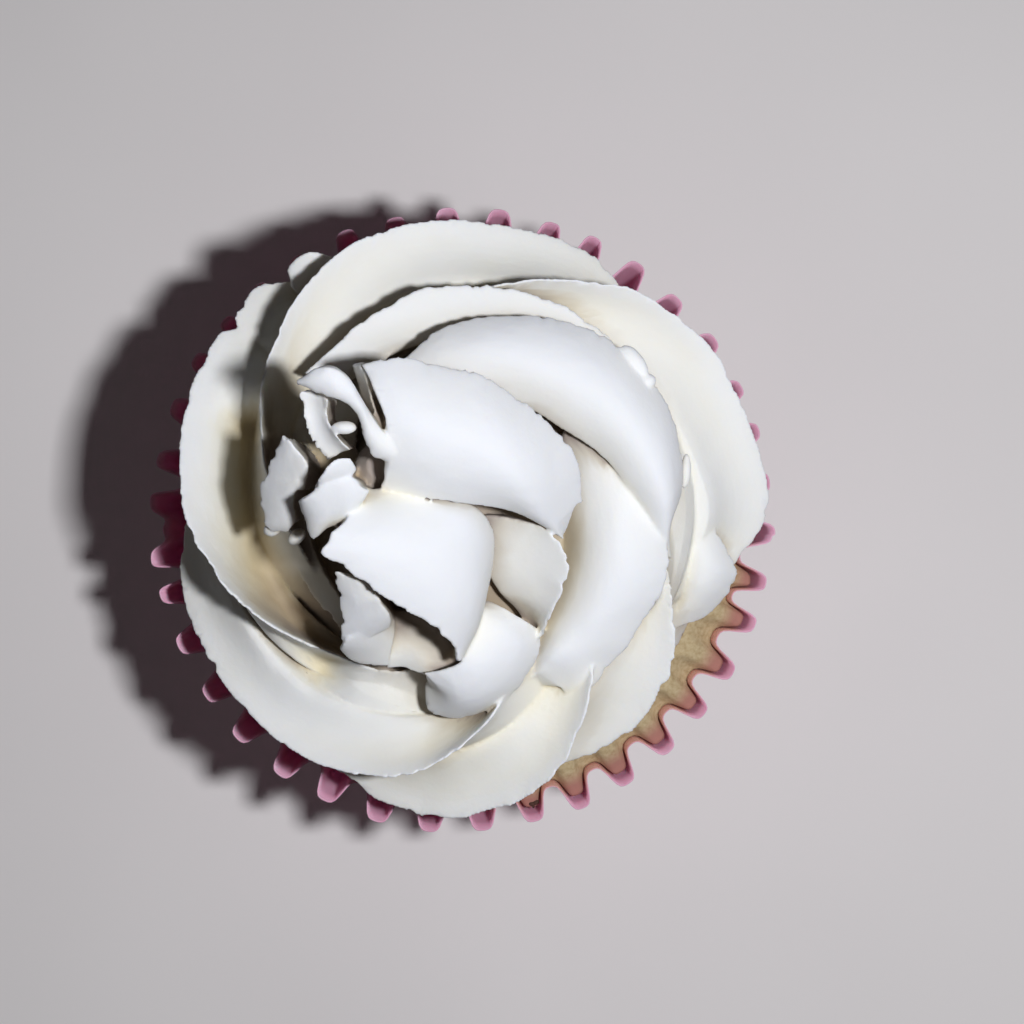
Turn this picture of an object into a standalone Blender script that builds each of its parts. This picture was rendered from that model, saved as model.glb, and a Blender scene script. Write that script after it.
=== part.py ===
"""Frosted cupcake: a fluted paper case, the sponge baked in it and a piped buttercream swirl.

Shapes are worked out in millimetres about the axis of the case, with the table at z = 0,
and turned into metres when a mesh is made.
"""
import math

import bpy
import numpy as np

MM = 0.001
GAP = 0.3                    # clearance between pieces that touch

# Paper case
FLUTES = 38
CASE_HEIGHT = 34.0
BASE_RADIUS = 25.0
RIM_RADIUS = 35.0            # out to the crests of the flutes
FLUTE_DEPTH = 3.3            # crest to valley at the rim
FOOT_DEPTH = 0.7             # crest to valley at the foot
PAPER = 0.35
CASE_SIDE = 1.0              # the thickness of the paper goes to the inside
FLUTE_TURN = -1.9            # where the first crest stands, in degrees
# One flute from valley to valley: share of its width, share of its depth
FLUTE_PROFILE = [(0.0, 0.0), (0.22, 0.12), (0.29, 0.78), (0.5, 1.0), (0.71, 0.78), (0.78, 0.12)]

# Sponge
DOME_RISE = 3.0
SPONGE_EDGE_DROP = 1.2       # how far below the rim the sponge ends against the paper
SPONGE_FLUTES = 0.55         # how deep the sponge reaches into a flute
SPONGE_TOP_INSET = 1.2       # from the valleys of the case in to the edge of the domed top
SPONGE_TOP_SHARES = (1.0, 0.55, 0.04)

# Buttercream
BLADE_HALF = 0.75            # half thickness of a rope's fin near its lip
ROPE_CORE = 0.40             # solid middle of the rope, as a share of its reach
TURN_STEP = 4.0              # degrees between the sections of the rope
FIN_ROWS = 6                 # stations from the middle of the rope to the lip of a fin
PETAL_THICK = 1.5
UNION_VOXEL = 1.0
FROSTING_TRIANGLES = 6200
CUTTER_RADII = (40.0, 31.5, 26.0, 20.0, 13.0, 6.0, 0.5)
CUTTER_FOOT = 20.0           # height of the underside of the cutter that seats the frosting

# The rope of the first ring. Its path: turn, ring radius, height, sideways and upward reach of the fins.
# Fins are the fixed directions of the six slots of the nozzle; a fin may start late, and swells are
# (fin, turn, spread, amount).
ROPE_PATH = [
    (-27, 20.5, 42.0, 11.0, 9.0),
    (10, 20.6, 42.0, 13.0, 9.5),
    (90, 21.0, 42.3, 11.8, 10.0),
    (140, 21.0, 42.5, 12.0, 10.0),
    (262, 20.7, 43.0, 11.6, 10.0),
    (330, 15.8, 44.3, 10.5, 8.5),
    (365, 13.5, 45.0, 10.0, 6.0),
]
ROPE_FINS = [17, 84, 138, 212, 268, 322]
LATE_FINS = {5: 90}
SWELLS = [(0, 0, 10, 2.4), (0, 22, 8, -0.6), (0, 52, 8, 0.5), (1, 64, 11, 1.2), (2, 120, 4, -1.8),
          (2, 131, 5, 1.4), (2, 140, 1.2, -1.5), (2, 245, 18, -3.5), (3, 222, 18, -0.8), (4, 262, 24, 1.0),
          (4, 328, 16, -5.0), (5, 304, 16, 1.3), (1, 218, 20, -5.5)]

# Solid hill inside the swirl: radius, height, middle x, middle y
HILL = [(28.0, 36.0, 0.0, 0.0), (25.5, 40.0, 0.0, 0.0), (19.0, 45.0, 0.5, 0.0), (15.0, 48.5, 2.0, 0.0),
        (11.5, 52.0, 0.5, 0.5), (8.0, 56.0, -2.5, 1.5), (4.5, 60.0, -5.0, 4.0), (1.5, 62.0, -6.5, 6.0)]

# Petals: the start of the rope, the second ring and the crown. Each is a cupped blade from a root curve,
# buried in the cream, to a free lip, over a wedge that goes down by depth below the root.
PETALS = {
    "start": dict(
        lip=[(29.0, -4.6, 44.0), (28.9, -7.6, 43.0), (27.8, -10.0, 41.5), (25.7, -11.1, 40.5),
             (24.1, -12.3, 39.5)],
        root=[(26.1, 1.9, 41.0), (24.5, 0.3, 40.5), (22.8, -4.0, 40.5), (22.4, -9.0, 40.5),
              (22.2, -11.9, 39.5)],
        cup=1.0, depth=2.0),
    "ring_end": dict(
        lip=[(24.0, 2.1, 50.5), (24.0, -0.3, 50.0), (23.5, -7.3, 48.0), (23.1, -11.6, 46.5),
             (22.9, -14.4, 45.5)],
        root=[(21.1, 1.9, 47.0), (20.8, -2.3, 47.0), (19.9, -10.9, 45.5), (19.8, -14.4, 44.5)],
        cup=0.0, depth=4.0),
    "ring_outer": dict(
        lip=[(-16.3, 15.2, 53.5), (-13.9, 17.5, 54.3), (-10.8, 20.4, 54.5), (-7.2, 22.9, 54.0),
             (-3.3, 24.6, 53.5), (1.9, 24.8, 53.0), (6.5, 24.1, 52.5), (10.3, 22.9, 52.0),
             (14.5, 20.3, 51.5), (18.4, 16.9, 50.5)],
        root=[(-12.3, 14.2, 51.0), (-6.4, 17.7, 51.5), (2.2, 19.7, 51.0), (7.5, 20.1, 50.5),
              (15.6, 16.4, 49.5)],
        cup=0.5, depth=4.0),
    "ring_tucked": dict(
        lip=[(-20.8, 1.9, 50.0), (-19.5, -1.9, 49.5), (-15.3, -9.4, 48.5), (-12.7, -12.8, 48.0)],
        root=[(-17.1, 1.9, 50.5), (-15.2, -4.5, 50.0), (-11.2, -11.0, 49.0)],
        cup=-0.3, depth=4.0),
    "outer_torn_end": dict(
        lip=[(-10.5, 16.0, 65.0), (-10.2, 14.3, 64.0), (-8.9, 10.6, 62.6), (-6.7, 7.4, 61.6)],
        root=[(-9.3, 16.4, 68.3), (-8.8, 14.9, 68.0), (-7.7, 11.3, 66.3), (-6.1, 7.7, 63.4)],
        cup=0.0, depth=3.0),
    "ridge_side": dict(
        lip=[(8.5, -0.8, 59.4), (10.9, -3.0, 60.0), (11.6, -4.9, 59.8), (11.0, -7.6, 58.8),
             (9.7, -10.2, 57.2), (8.7, -12.5, 54.6)],
        root=[(2.7, 0.3, 55.0), (2.9, -2.4, 53.5), (3.0, -5.6, 52.0), (4.3, -8.0, 51.0),
              (6.2, -10.0, 50.5), (7.9, -11.9, 50.5)],
        cup=-1.2, depth=6.0),
    "below": dict(
        lip=[(-13.0, -5.7, 60.5), (-12.8, -8.6, 59.0), (-12.3, -11.5, 58.0), (-12.3, -13.2, 57.0)],
        root=[(-9.1, -6.4, 63.5), (-8.1, -8.5, 62.5), (-7.6, -10.4, 60.5), (-7.4, -11.5, 59.0)],
        cup=0.4, depth=13.0, thick=0.7),
    "below_low": dict(
        lip=[(-12.7, -13.8, 55.5), (-11.5, -14.9, 54.5), (-9.5, -15.8, 54.0), (-7.6, -15.9, 54.0)],
        root=[(-11.9, -12.7, 58.5), (-9.8, -12.1, 58.8), (-8.0, -11.5, 58.5), (-6.7, -11.2, 58.0)],
        cup=0.4, depth=10.0, thick=0.7),
    "curl": dict(
        lip=[(-7.7, -15.9, 53.6), (-5.8, -16.2, 53.4), (-3.1, -16.8, 53.8), (-1.0, -16.2, 55.0),
             (0.3, -15.4, 56.6)],
        root=[(-8.2, -11.2, 58.2), (-6.1, -11.0, 58.6), (-3.5, -11.7, 58.8), (-1.4, -13.2, 58.4),
              (0.1, -15.1, 57.4)],
        cup=1.0, depth=10.0),
    "left_high": dict(
        lip=[(-18.1, 8.7, 64.5), (-19.4, 6.2, 63.0), (-20.0, 5.0, 62.0), (-20.5, 3.4, 61.0)],
        root=[(-17.3, 8.0, 65.5), (-15.4, 5.4, 65.0), (-15.9, 2.9, 63.5)],
        cup=0.3, depth=18.0, thick=0.7),
    "left_low": dict(
        lip=[(-20.5, 3.9, 61.0), (-20.7, 0.8, 59.5), (-20.1, -1.3, 58.5), (-18.2, -1.7, 58.0)],
        root=[(-16.4, 3.9, 64.0), (-17.0, 1.8, 62.5), (-16.9, -0.2, 60.5)],
        cup=0.3, depth=16.0, thick=0.7),
    "star_top": dict(
        lip=[(-11.2, 6.9, 70.4), (-12.4, 5.7, 70.6), (-14.4, 3.1, 69.4), (-15.4, 2.5, 67.6)],
        root=[(-9.3, 5.7, 67.4), (-10.7, 4.1, 68.0), (-14.0, 2.6, 67.4)],
        cup=0.1, depth=12.0, thick=0.7),
    "star_face": dict(
        lip=[(-16.5, 1.9, 64.8), (-15.4, -1.0, 62.8), (-14.0, -2.2, 62.4), (-10.3, 0.4, 63.4)],
        root=[(-14.5, 3.1, 69.0), (-11.4, 4.1, 69.2), (-9.2, 5.1, 68.6)],
        cup=0.5, depth=12.0, thick=0.7),
    "hook": dict(
        lip=[(-16.1, 13.5, 71.5), (-14.8, 12.6, 72.2), (-11.3, 11.2, 72.8), (-9.8, 9.1, 70.8),
             (-9.5, 6.8, 68.0), (-8.1, 5.7, 66.0)],
        root=[(-15.6, 14.5, 71.6), (-12.6, 15.0, 73.4), (-10.3, 13.3, 72.6), (-9.1, 9.9, 69.0),
              (-6.4, 7.0, 65.0)],
        cup=0.5, depth=1.6),
    "hook_below": dict(
        lip=[(-16.0, 12.6, 68.4), (-15.7, 9.2, 66.6), (-13.5, 5.6, 65.2)],
        root=[(-12.8, 11.7, 70.6), (-12.7, 8.5, 68.8), (-11.8, 6.2, 67.0)],
        cup=0.2, depth=12.0, thick=0.7),
}

# Broad leaves of the second ring and the crown: each rises from its free lip over a crest and rolls down again
# to its other edge, and goes down by depth into the cream in its middle.
LEAVES = {
    "ring_broad": dict(
        lip=[(-7.0, 15.3, 57.0), (-5.4, 17.3, 57.3), (-3.2, 19.1, 57.3), (0.6, 20.7, 56.8),
             (6.1, 21.5, 56.0), (11.0, 21.0, 55.3), (16.8, 18.5, 54.3), (20.6, 14.4, 53.5),
             (22.9, 10.4, 52.8), (23.7, 2.7, 52.0), (22.4, -1.6, 51.2), (20.9, -3.5, 50.5)],
        crest=[(-7.7, 18.1, 57.5), (-3.0, 18.1, 58.5), (4.3, 17.5, 58.8), (10.6, 14.9, 58.4),
               (15.9, 11.1, 57.6), (19.6, 6.6, 56.8), (21.7, 1.9, 55.6), (22.2, -1.8, 53.5)],
        edge=[(-6.7, 15.3, 57.0), (-0.9, 13.9, 57.0), (6.4, 11.9, 56.5), (10.9, 9.3, 55.4),
              (14.9, 6.6, 54.8), (18.1, 2.7, 54.2), (20.3, -1.0, 53.0), (21.4, -3.2, 51.5)],
        depth=9.0),
    "ring_inner": dict(
        lip=[(10.7, 9.8, 51.5), (14.8, 8.1, 52.3), (18.2, 3.6, 52.5), (20.5, -1.3, 52.0),
             (21.6, -5.8, 51.5), (21.1, -8.8, 51.0), (19.8, -11.2, 50.5), (17.9, -13.9, 49.6),
             (16.2, -16.2, 48.2), (13.9, -18.7, 46.5), (11.9, -19.3, 45.5)],
        crest=[(10.7, 7.2, 52.0), (13.7, 2.9, 53.6), (15.6, -1.3, 54.2), (16.0, -5.5, 54.0),
               (14.9, -9.3, 53.2), (13.4, -12.5, 51.8), (11.0, -15.7, 49.0), (9.7, -18.7, 46.0)],
        edge=[(9.1, 6.7, 50.5), (10.5, 1.9, 50.5), (11.0, -2.9, 50.0), (10.3, -7.8, 50.0),
              (8.8, -12.1, 49.5), (7.5, -15.4, 48.0), (6.7, -18.7, 46.0)],
        depth=8.0),
    "outer": dict(
        lip=[(-9.8, 15.7, 68.0), (-7.8, 16.3, 68.0), (-5.6, 16.4, 67.5), (-1.8, 15.8, 66.5),
             (2.3, 14.9, 65.5), (5.9, 12.9, 64.3), (9.3, 10.1, 62.8), (11.4, 7.8, 61.4),
             (12.6, 5.5, 60.2), (13.0, 3.4, 59.2), (13.1, 1.6, 58.2)],
        crest=[(-6.8, 7.4, 68.6), (-4.3, 7.0, 68.8), (-0.5, 6.3, 68.4), (3.4, 4.9, 67.4),
               (5.9, 3.1, 66.0), (8.2, 1.2, 63.6), (10.3, -0.3, 60.6)],
        edge=[(-8.0, 3.1, 64.4), (-5.9, 2.6, 64.4), (-2.8, 1.9, 64.4), (0.8, 1.4, 64.0), (3.3, 1.1, 63.2),
              (5.9, 0.5, 62.0), (8.5, -0.8, 60.2), (11.2, -2.5, 57.8)],
        depth=10.0),
    "shoulder": dict(
        lip=[(-12.9, -1.6, 67.6), (-13.3, -2.6, 67.6), (-14.0, -3.5, 67.4), (-12.0, -4.9, 67.0),
             (-10.5, -6.1, 66.6), (-7.9, -7.9, 65.8), (-4.9, -9.9, 64.8), (-2.9, -11.0, 63.9),
             (-1.1, -12.6, 62.6), (0.2, -15.1, 60.0)],
        crest=[(-10.9, 0.3, 67.2), (-8.9, -1.2, 67.2), (-5.8, -2.8, 66.8), (-2.8, -4.1, 66.0),
               (-0.5, -6.1, 65.0), (0.8, -8.5, 63.6), (1.1, -11.1, 61.8), (0.5, -14.6, 59.0)],
        edge=[(-9.8, 3.1, 64.2), (-6.5, 3.0, 63.8), (-1.8, 2.4, 63.0), (1.9, 1.2, 61.8),
              (3.6, -1.0, 60.0), (3.8, -3.6, 58.4), (3.3, -6.5, 57.0), (2.2, -10.5, 55.8),
              (0.5, -15.0, 56.0)],
        depth=10.0),
    "ridge_foot": dict(
        lip=[(8.3, -11.7, 53.6), (8.6, -13.0, 53.2), (8.1, -15.4, 52.6), (7.3, -17.0, 52.2),
             (5.4, -19.2, 51.6), (3.2, -20.6, 51.2), (1.4, -21.3, 51.0), (-0.8, -21.6, 50.8),
             (-3.4, -20.6, 50.8), (-3.8, -17.6, 51.5)],
        crest=[(5.9, -10.2, 55.2), (5.4, -12.3, 56.6), (3.8, -14.7, 57.0), (1.7, -17.3, 56.8),
               (-0.4, -18.1, 56.4), (-2.5, -17.6, 56.0)],
        edge=[(2.9, -8.6, 54.5), (2.2, -9.7, 56.5), (1.3, -12.3, 57.6), (0.1, -15.2, 57.8),
              (-2.0, -16.1, 57.2), (-3.6, -16.4, 56.2)],
        depth=6.0),
}



def clear_scene():
    for obj in list(bpy.data.objects):
        bpy.data.objects.remove(obj)


def make_material(name, color, roughness):
    material = bpy.data.materials.new(name)
    material.use_nodes = True
    shader = material.node_tree.nodes["Principled BSDF"]
    shader.inputs["Base Color"].default_value = (*color, 1.0)
    shader.inputs["Roughness"].default_value = roughness
    shader.inputs["Metallic"].default_value = 0.0
    return material


def make_object(name, points, faces, collection, material=None):
    mesh = bpy.data.meshes.new(name)
    mesh.from_pydata((np.asarray(points) * MM).tolist(), [], faces)
    mesh.update()
    obj = bpy.data.objects.new(name, mesh)
    collection.objects.link(obj)
    if material:
        mesh.materials.append(material)
    return obj


def loft(rings, capped=True):
    """Side faces between closed rings of equal length, with an n-gon at each end."""
    rings = np.asarray(rings)
    count, around, _ = rings.shape
    here = np.arange(around)
    after = (here + 1) % around
    faces = []
    for row in range(count - 1):
        low = row * around
        high = low + around
        faces += np.stack([low + here, low + after, high + after, high + here], 1).tolist()
    if capped:
        faces.append(here[::-1].tolist())
        faces.append(((count - 1) * around + here).tolist())
    return rings.reshape(-1, 3), faces


def join(parts):
    """One point array and one face list from several."""
    points = np.concatenate([part[0] for part in parts])
    faces = []
    start = 0
    for part_points, part_faces in parts:
        faces += [[index + start for index in face] for face in part_faces]
        start += len(part_points)
    return points, faces


# ---- smooth curves -------------------------------------------------------------------------------

def unit(vectors):
    return vectors / np.linalg.norm(vectors, axis=-1, keepdims=True)


def through_table(x, knots, values):
    """Curve through a table that never overshoots it (monotone cubic)."""
    knots = np.asarray(knots, float)
    values = np.asarray(values, float)
    width = np.diff(knots)
    slope = np.diff(values) / width
    tangent = np.zeros_like(values)
    tangent[0] = slope[0]
    tangent[-1] = slope[-1]
    for i in range(1, len(knots) - 1):
        if slope[i - 1] * slope[i] > 0:
            before = 2 * width[i] + width[i - 1]
            after = width[i] + 2 * width[i - 1]
            tangent[i] = (before + after) / (before / slope[i - 1] + after / slope[i])
    i = np.clip(np.searchsorted(knots, x) - 1, 0, len(knots) - 2)
    t = np.clip((x - knots[i]) / width[i], 0, 1)
    start = (1 + 2 * t) * (1 - t) ** 2 * values[i] + t * (1 - t) ** 2 * width[i] * tangent[i]
    end = t * t * (3 - 2 * t) * values[i + 1] + t * t * (t - 1) * width[i] * tangent[i + 1]
    return start + end


def through_points(points, count):
    """Catmull-Rom curve through 3-D points, sampled at even steps of its length."""
    points = np.asarray(points, float)
    chord = np.linalg.norm(np.diff(points, axis=0), axis=1)
    knots = np.concatenate([[0.0], np.cumsum(chord)]) / chord.sum()
    tangent = np.gradient(points, knots, axis=0)
    fine = np.linspace(0, 1, 240)
    i = np.clip(np.searchsorted(knots, fine) - 1, 0, len(knots) - 2)
    width = (knots[i + 1] - knots[i])[:, None]
    t = ((fine - knots[i]) / (knots[i + 1] - knots[i]))[:, None]
    start = (1 + 2 * t) * (1 - t) ** 2 * points[i] + t * (1 - t) ** 2 * width * tangent[i]
    end = t * t * (3 - 2 * t) * points[i + 1] + t * t * (t - 1) * width * tangent[i + 1]
    curve = start + end
    along = np.concatenate([[0.0], np.cumsum(np.linalg.norm(np.diff(curve, axis=0), axis=1))])
    even = np.linspace(0, along[-1], count)
    return np.stack([np.interp(even, along, curve[:, axis]) for axis in range(3)], 1)


# ---- buttercream ----------------------------------------------------------------------------------

def rope_frames(path, first_turn=None):
    """Middle line of a rope, its direction of travel and the reach of its fins."""
    table = np.array(path, float)
    start = table[0, 0] if first_turn is None else first_turn
    turn = np.arange(start, table[-1, 0] + TURN_STEP / 2, TURN_STEP)
    ring, height, side, rise = (through_table(turn, table[:, 0], table[:, column]) for column in range(1, 5))
    azimuth = np.radians(turn)
    middle = np.stack([ring * np.cos(azimuth), ring * np.sin(azimuth), height], 1)
    travel = unit(np.gradient(middle, turn, axis=0))
    return turn, middle, travel, side, rise


def fin_directions(fin, turn, travel, side, rise):
    """Where a fin points in each section. The nozzle never turns, so as the rope travels round
    a fin comes up from below, stands out sideways and moves over the top."""
    slot = math.radians(ROPE_FINS[fin])
    slot = np.array([math.cos(slot), math.sin(slot), 0.0])
    lean = np.cross((0.0, 0.0, 1.0), travel)
    turned = np.cross(lean, slot)
    aim = slot + turned + np.cross(lean, turned) / (1 + travel[:, 2])[:, None]
    outward = unit(np.stack([travel[:, 1], -travel[:, 0], 0 * turn], 1))
    upward = np.cross(outward, travel)
    upward = np.where(upward[:, 2:] < 0, -upward, upward)
    angle = np.arctan2((aim * upward).sum(1), (aim * outward).sum(1))
    angle = angle - math.radians(11.0) * np.exp(-((angle - 0.1) / 0.8) ** 2)
    aim = outward * np.cos(angle)[:, None] + upward * np.sin(angle)[:, None]
    reach = 1 / np.sqrt((np.cos(angle) / side) ** 2 + (np.sin(angle) / rise) ** 2)
    for swollen, place, spread, amount in SWELLS:
        if swollen == fin:
            reach = reach + amount * np.exp(-((turn - place) / spread) ** 2)
    return aim, reach


def rope_fin(fin):
    """One fin as a loft of thin leaf-shaped sections that flare where they join the rope."""
    turn, middle, travel, side, rise = rope_frames(ROPE_PATH, LATE_FINS.get(fin))
    aim, reach = fin_directions(fin, turn, travel, side, rise)
    start = np.clip((turn - turn[0]) / 7.0, 0, 1)
    end = np.clip((turn[-1] - turn) / 14.0, 0, 1)
    for grown in (start, end):
        reach = reach * (0.45 + 0.55 * np.sqrt(grown))
    across = unit(np.cross(travel, aim))
    near, far = [], []
    for share in np.linspace(0, 1, FIN_ROWS):
        distance = share * reach
        open_share = max(0.0, (share - ROPE_CORE) / (1 - ROPE_CORE))
        flare = math.tan(math.radians(30) * (1 - open_share) ** 2.6)
        half = distance * flare + BLADE_HALF
        bend = -0.10 * math.sin(math.pi * open_share / 2) ** 2 * open_share * reach
        spine = middle + aim * distance[:, None] + across * bend[:, None]
        near.append(spine + across * half[:, None])
        far.append(spine - across * half[:, None])
    return loft(np.stack(near + far[::-1], 1))


def rope_core(path):
    turn, middle, travel, side, _ = rope_frames(path)
    thickness = ROPE_CORE * side * (1 - 0.3 * np.exp(-((turn - 203.0) / 25.0) ** 2))
    first = unit(np.cross(travel, (0.0, 0.0, 1.0)))
    second = np.cross(travel, first)
    rings = []
    for angle in np.radians(np.arange(0, 360, 30)):
        rings.append(middle + (first * math.cos(angle) + second * math.sin(angle)) * thickness[:, None])
    return loft(np.stack(rings, 1))


def petal(lip, root, cup, depth, thick=1.0):
    """A cupped blade from root to lip over a wedge that goes down from the root."""
    columns = 20
    lip_line = through_points(lip, columns)
    root_line = through_points(root, columns)
    v = np.linspace(0, 1, 8)
    sheet = root_line[:, None] * (1 - v)[None, :, None] + lip_line[:, None] * v[None, :, None]
    normal = sheet_normal(sheet)
    sheet = sheet + normal * (cup * 4 * v * (1 - v))[None, :, None]
    under = sheet - normal * PETAL_THICK * thick
    under[:, :, 2] -= depth * (1 - v) ** 2.4
    return loft(np.concatenate([sheet, under[:, ::-1]], 1))


def sheet_normal(sheet):
    """Unit normals of a grid of points, on its upper side."""
    normal = unit(np.cross(np.gradient(sheet, axis=0), np.gradient(sheet, axis=1)))
    return -normal if normal[:, :, 2].mean() < 0 else normal


def leaf(lip, crest, edge, depth):
    """A broad blade arched over its crest, thin at both edges and deep in between."""
    columns = 24
    lines = [through_points(line, columns) for line in (lip, crest, edge)]
    reach = [np.linalg.norm(lines[1] - lines[0], axis=1), np.linalg.norm(lines[2] - lines[1], axis=1)]
    middle = (reach[0] / (reach[0] + reach[1]))[:, None]
    v = np.linspace(0, 1, 12)[None, :]
    shares = [(v - middle) * (v - 1) / middle, v * (1 - v) / (middle * (1 - middle)),
              v * (v - middle) / (1 - middle)]
    sheet = sum(line[:, None] * share[:, :, None] for line, share in zip(lines, shares))
    normal = sheet_normal(sheet)
    arch = (4 * v * (1 - v))[0]
    under = sheet - normal * PETAL_THICK
    under[:, :, 2] -= depth * arch ** 1.6
    return loft(np.concatenate([sheet, under[:, ::-1]], 1))


def hill():
    angle = np.radians(np.arange(0, 360, 15))
    rings = [np.stack([x + r * np.cos(angle), y + r * np.sin(angle), np.full_like(angle, z)], 1)
             for r, z, x, y in HILL]
    return loft(rings)


def build_frosting(collection, cutters, material):
    parts = [hill(), rope_core(ROPE_PATH)]
    parts += [rope_fin(fin) for fin in range(len(ROPE_FINS))]
    parts += [petal(**shape) for shape in PETALS.values()]
    parts += [leaf(**shape) for shape in LEAVES.values()]
    frosting = make_object("frosting", *join(parts), collection, material)
    union = frosting.modifiers.new("union", "REMESH")
    union.mode = "VOXEL"
    union.voxel_size = UNION_VOXEL * MM
    thin = frosting.modifiers.new("thin", "DECIMATE")
    depsgraph = bpy.context.evaluated_depsgraph_get()
    thin.ratio = 1.0
    faces = len(frosting.evaluated_get(depsgraph).data.polygons) * 2
    thin.ratio = FROSTING_TRIANGLES / faces
    below = make_object("frosting_cut", *loft(sponge_cutter_rings()), cutters)
    below.hide_render = True
    below.display_type = "WIRE"
    cut = frosting.modifiers.new("seat", "BOOLEAN")
    cut.operation = "DIFFERENCE"
    cut.object = below
    return frosting


# ---- case and sponge -------------------------------------------------------------------------------

def flute_ring(crest, depth, height, inset=0.0, fill=1.0):
    """One turn of the fluted wall, moved in square to itself by the inset. Fill is how much of
    each flute's depth the ring follows."""
    valley = crest - depth
    turn = np.array([(flute + share) / FLUTES for flute in range(FLUTES) for share, _ in FLUTE_PROFILE])
    rise = np.array([share for _, share in FLUTE_PROFILE] * FLUTES)
    radius = valley + depth * fill * rise
    angle = (turn - 0.5 / FLUTES) * 2 * math.pi + math.radians(FLUTE_TURN)
    ring = np.stack([radius * np.cos(angle), radius * np.sin(angle)], 1)
    edge = unit(np.roll(ring, -1, axis=0) - ring)
    outward = np.stack([edge[:, 1], -edge[:, 0]], 1)
    corner = unit(outward + np.roll(outward, 1, axis=0))
    stretch = 1 / np.maximum((corner * outward).sum(1), 0.6)
    ring = ring - corner * (inset * stretch)[:, None]
    return np.column_stack([ring, np.full(len(ring), height)])


def wall_at(share):
    """Crest radius, flute depth and height of the case wall, from foot (0) to rim (1)."""
    crest = BASE_RADIUS + (RIM_RADIUS - BASE_RADIUS) * share
    depth = FOOT_DEPTH + (FLUTE_DEPTH - FOOT_DEPTH) * share
    return crest, depth, CASE_HEIGHT * share


def build_case(collection, material):
    """The pleated wall and the flat base in one surface, thickened inward."""
    wall = [flute_ring(*wall_at(share)) for share in (1.0, 0.0)]
    points, faces = loft(wall, capped=False)
    count = len(wall[0])
    faces.append(list(range(count, 2 * count)))
    case = make_object("paper_case", points, faces, collection, material)
    thickness = case.modifiers.new("paper", "SOLIDIFY")
    thickness.thickness = PAPER * MM
    thickness.offset = CASE_SIDE
    thickness.use_even_offset = True
    return case


def dome_height(radius):
    """Top of the sponge."""
    share = np.clip(radius / (RIM_RADIUS - FLUTE_DEPTH), 0, 1)
    return CASE_HEIGHT + DOME_RISE * (1 - share ** 2)


def sponge_ring(share):
    """The sponge's side at a share of the case's height."""
    return flute_ring(*wall_at(share), inset=PAPER + GAP, fill=SPONGE_FLUTES)


def sponge_top_ring(share):
    """A round ring of the domed top, at a share of its radius."""
    edge = sponge_ring(1.0)
    angle = np.arctan2(edge[:, 1], edge[:, 0])
    radius = (RIM_RADIUS - FLUTE_DEPTH - SPONGE_TOP_INSET) * share
    height = dome_height(radius)
    return np.stack([radius * np.cos(angle), radius * np.sin(angle), height + 0 * angle], 1)


def sponge_cutter_rings():
    """The sponge's top, raised by the gap, down to below the frosting."""
    angle = np.radians(np.arange(0, 360, 7.5))
    rings = []
    for radius in CUTTER_RADII:
        height = dome_height(radius) + GAP
        rings.append(np.stack([radius * np.cos(angle), radius * np.sin(angle), height + 0 * angle], 1))
    foot = rings[0].copy()
    foot[:, 2] = CUTTER_FOOT
    return [foot] + rings


def build_sponge(collection, material):
    low = (PAPER + GAP) / CASE_HEIGHT
    top = 1 - SPONGE_EDGE_DROP / CASE_HEIGHT
    rings = [sponge_ring(low), sponge_ring(top)]
    rings += [sponge_top_ring(share) for share in SPONGE_TOP_SHARES]
    return make_object("sponge", *loft(rings), collection, material)


def build():
    clear_scene()
    cupcake = bpy.data.collections.new("cupcake")
    cutters = bpy.data.collections.new("cutters")
    bpy.context.scene.collection.children.link(cupcake)
    bpy.context.scene.collection.children.link(cutters)
    paper = make_material("greaseproof_paper", (0.42, 0.19, 0.25), 0.55)
    cake = make_material("sponge_crumb", (0.52, 0.33, 0.15), 0.9)
    cream = make_material("buttercream", (0.86, 0.85, 0.82), 0.45)
    build_case(cupcake, paper)
    build_sponge(cupcake, cake)
    build_frosting(cupcake, cutters, cream)


build()
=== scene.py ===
"""Looks of the frosted cupcake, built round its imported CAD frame.

Shapes are worked out in millimetres about the axis of the paper case, with the table at z = 0, and turned
into metres when a mesh is made. Everything that goes round the case is counted counter-clockwise seen from
above, from +X.
"""
import math
import random

import bpy
import numpy as np
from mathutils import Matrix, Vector, noise
from mathutils.bvhtree import BVHTree


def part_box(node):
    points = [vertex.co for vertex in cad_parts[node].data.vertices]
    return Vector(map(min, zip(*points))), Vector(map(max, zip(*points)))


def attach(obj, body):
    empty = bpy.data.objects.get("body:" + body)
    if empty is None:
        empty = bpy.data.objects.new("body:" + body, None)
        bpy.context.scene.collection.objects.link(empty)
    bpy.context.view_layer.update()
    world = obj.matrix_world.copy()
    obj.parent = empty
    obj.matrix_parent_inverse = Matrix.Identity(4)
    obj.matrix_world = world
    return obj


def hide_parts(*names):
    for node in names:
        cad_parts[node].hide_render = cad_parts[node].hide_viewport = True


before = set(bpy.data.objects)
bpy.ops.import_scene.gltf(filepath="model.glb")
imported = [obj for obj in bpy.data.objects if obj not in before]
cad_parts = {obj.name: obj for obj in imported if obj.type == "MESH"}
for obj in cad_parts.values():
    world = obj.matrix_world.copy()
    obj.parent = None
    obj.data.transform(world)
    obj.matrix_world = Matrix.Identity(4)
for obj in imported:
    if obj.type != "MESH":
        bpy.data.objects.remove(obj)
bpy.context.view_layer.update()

MM = 0.001

# ---- sizes, from the frame -----------------------------------------------------------------------

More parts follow.
